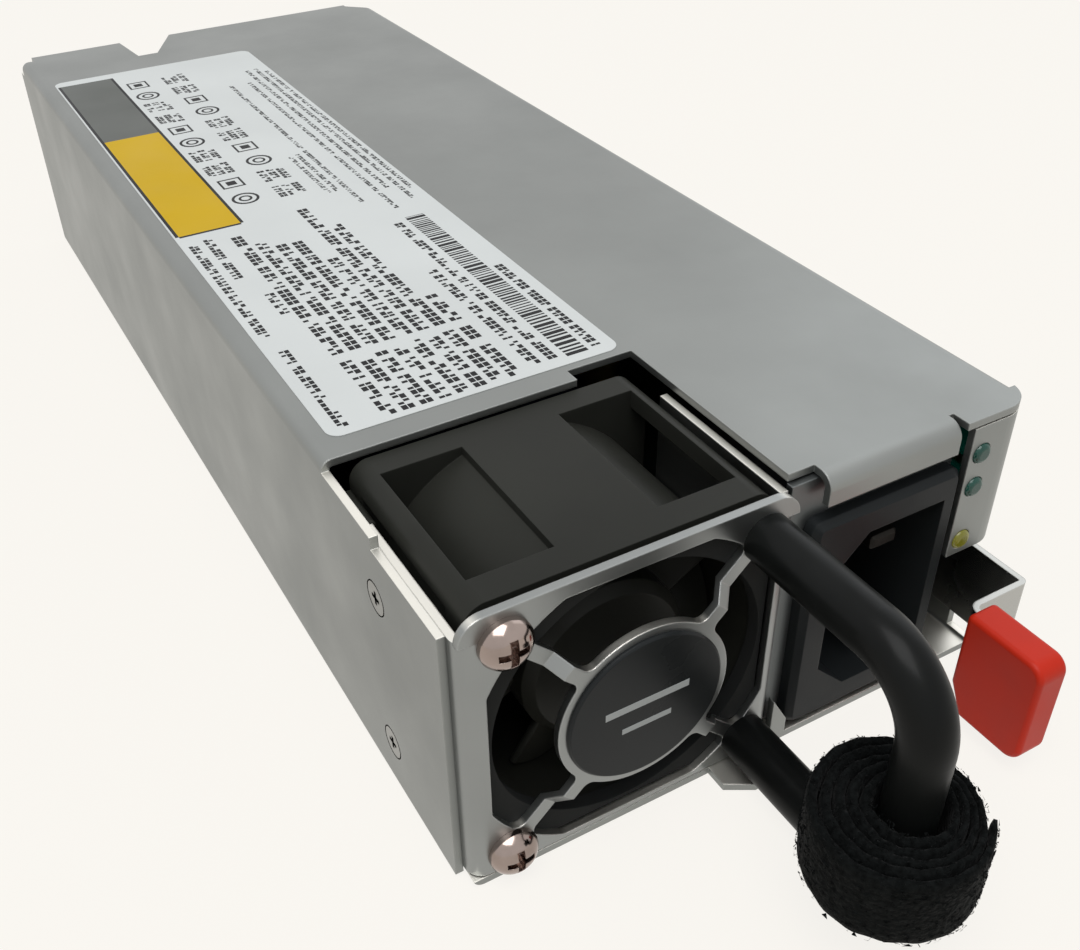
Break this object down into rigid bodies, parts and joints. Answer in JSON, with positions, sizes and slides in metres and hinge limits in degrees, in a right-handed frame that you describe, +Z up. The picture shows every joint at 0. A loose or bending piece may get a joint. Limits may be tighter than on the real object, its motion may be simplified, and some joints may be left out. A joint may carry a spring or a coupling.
{
  "type": "hot swap server power supply",
  "caption": "Flat sheet-metal power supply module with a front fan and mains inlet, bail handle, red release latch and a card edge at the rear.",
  "frame": {"origin": "centre of the case's bottom face", "axes": "+Z up, -Y out of the fan and inlet face, +Y towards the plug-in card edge, +X to the latch side"},
  "size_m": [0.0796, 0.2407, 0.04],
  "materials": {
    "case_steel": "galvanised sheet, matt",
    "panel_steel": "galvanised sheet, matt",
    "plate_steel": "satin nickel-plated sheet",
    "bright_screw": "bright nickel",
    "flush_screw": "zinc-plated",
    "fan_plastic": "fine moulded texture",
    "disc_black": "satin",
    "gasket_rubber": "matt",
    "magnet": "dull",
    "bearing_steel": "ground",
    "stator_copper": "enamelled winding",
    "handle_black": "satin black powder coat",
    "strap_fabric": "fuzzy hook-and-loop",
    "inlet_black": "moulded",
    "pin_metal": "nickel-plated",
    "lamp_green": "clear tinted",
    "lamp_amber": "clear tinted",
    "latch_steel": "bright spring steel",
    "grip_red": "satin moulded",
    "board_green": "solder mask",
    "contact_gold": "gold flash",
    "standoff_metal": "zinc-plated",
    "liner_sheet": "translucent film",
    "can_sleeve": "sleeved",
    "choke_core": "wound enamelled wire",
    "film_box": "moulded box",
    "ferrite": "sintered",
    "sink_metal": "extruded"
  },
  "bodies": {
    "case": {"chassis_base": "case_steel", "top_cover": "case_steel", "front_panel": "panel_steel", "rear_panel": "panel_steel", "fan_plate": "plate_steel", "fan_disc": "disc_black", "fan_gasket": "gasket_rubber", "fan_frame": "fan_plastic", "fan_bearings": "bearing_steel", "fan_stator": "stator_copper", "fan_screws": "bright_screw", "fan_clip": "fan_plastic", "wall_screws": "flush_screw", "cover_screws": "flush_screw", "handle": "handle_black", "strap": "strap_fabric", "inlet_body": "inlet_black", "inlet_pins": "pin_metal", "lamp_board": "board_green", "lamp_input": "lamp_green", "lamp_output": "lamp_green", "lamp_fault": "lamp_amber", "latch_rivets": "latch_steel", "main_board": "board_green", "edge_contacts": "contact_gold", "standoffs": "standoff_metal", "board_screws": "flush_screw", "insulation_sheet": "liner_sheet", "bulk_capacitors": "can_sleeve", "pfc_choke": "choke_core", "line_choke": "choke_core", "line_capacitor": "film_box", "transformer": "ferrite", "primary_heatsink": "sink_metal", "secondary_heatsink": "sink_metal", "output_capacitors": "can_sleeve", "control_board": "board_green"},
    "rotor": {"fan_rotor": "fan_plastic", "fan_magnet": "magnet", "fan_shaft": "bearing_steel"},
    "latch": {"latch_leaf": "latch_steel", "latch_grip": "grip_red", "latch_hook": "latch_steel"}
  },
  "joints": [
    {"name": "fan_spin", "type": "hinge", "parent": "case", "child": "rotor", "pos_m": [-0.0167, -0.0845, 0.02], "axis": [0, 1, 0], "continuous": true},
    {"name": "latch_release", "type": "hinge", "parent": "case", "child": "latch", "pos_m": [0.037, -0.0485, 0.0111], "axis": [0, 0, -1], "range_deg": [0, 4.5], "stiffness_Nm_per_rad": 8}
  ]
}
